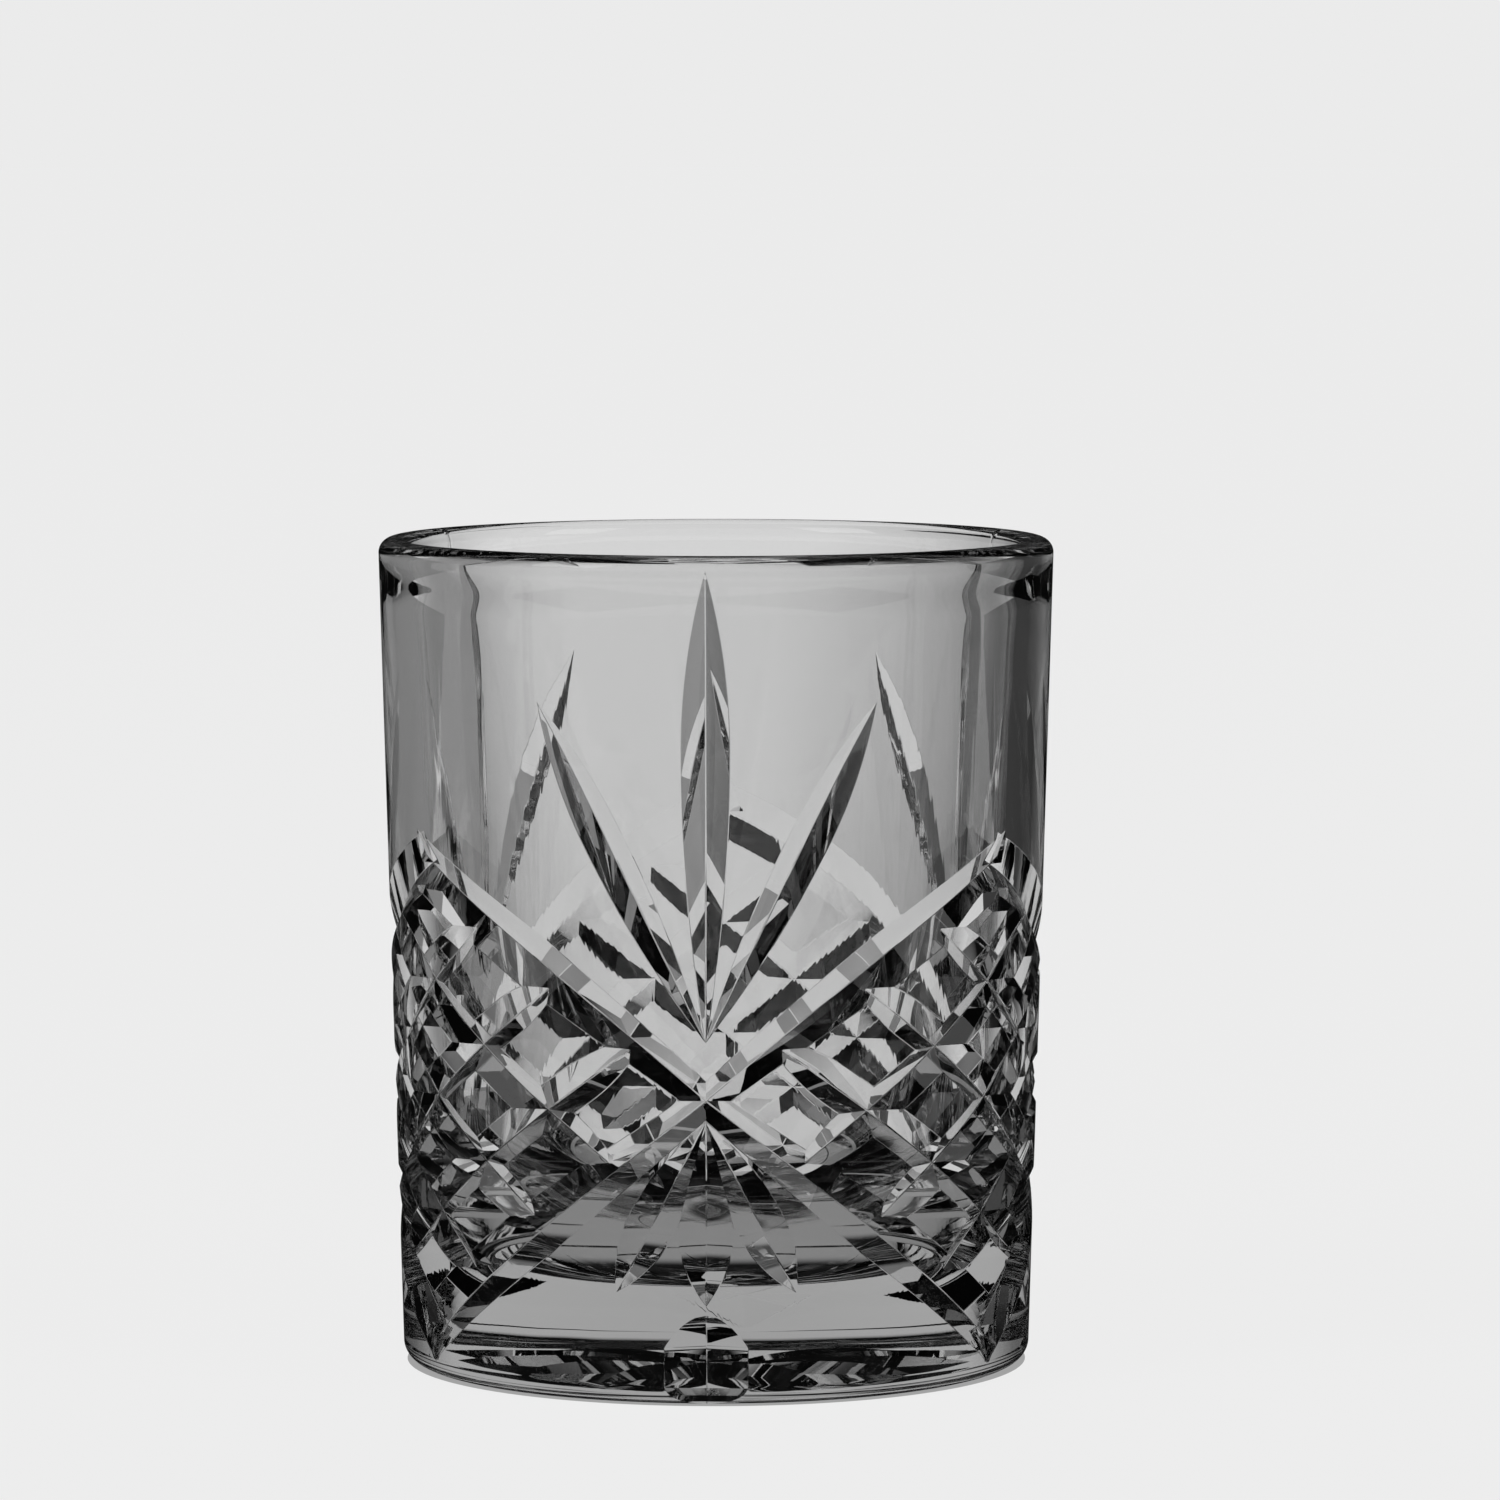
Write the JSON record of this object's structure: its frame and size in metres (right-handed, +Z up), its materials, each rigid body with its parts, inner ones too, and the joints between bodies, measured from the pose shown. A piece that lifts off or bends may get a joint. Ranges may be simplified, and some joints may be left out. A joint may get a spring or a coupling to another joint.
{
  "type": "whiskey tumbler",
  "caption": "Short, heavy-based smoke-grey glass tumbler for spirits, with a cut-style pattern of crossed mitres, leaf fans and hatched lozenges round its outside wall.",
  "frame": {"origin": "middle of the foot, on the surface the glass stands on", "axes": "+Z up, out of the mouth; -Y towards the viewer, through the middle of one crossing of the pattern"},
  "size_m": [0.0824, 0.0824, 0.101],
  "materials": {
    "smoked_glass": "fire-polished smoke-grey glass, glossy and clear, tinted right through, a little darker where it is thick"
  },
  "bodies": {
    "root": {"tumbler_glass": "smoked_glass"}
  },
  "joints": []
}
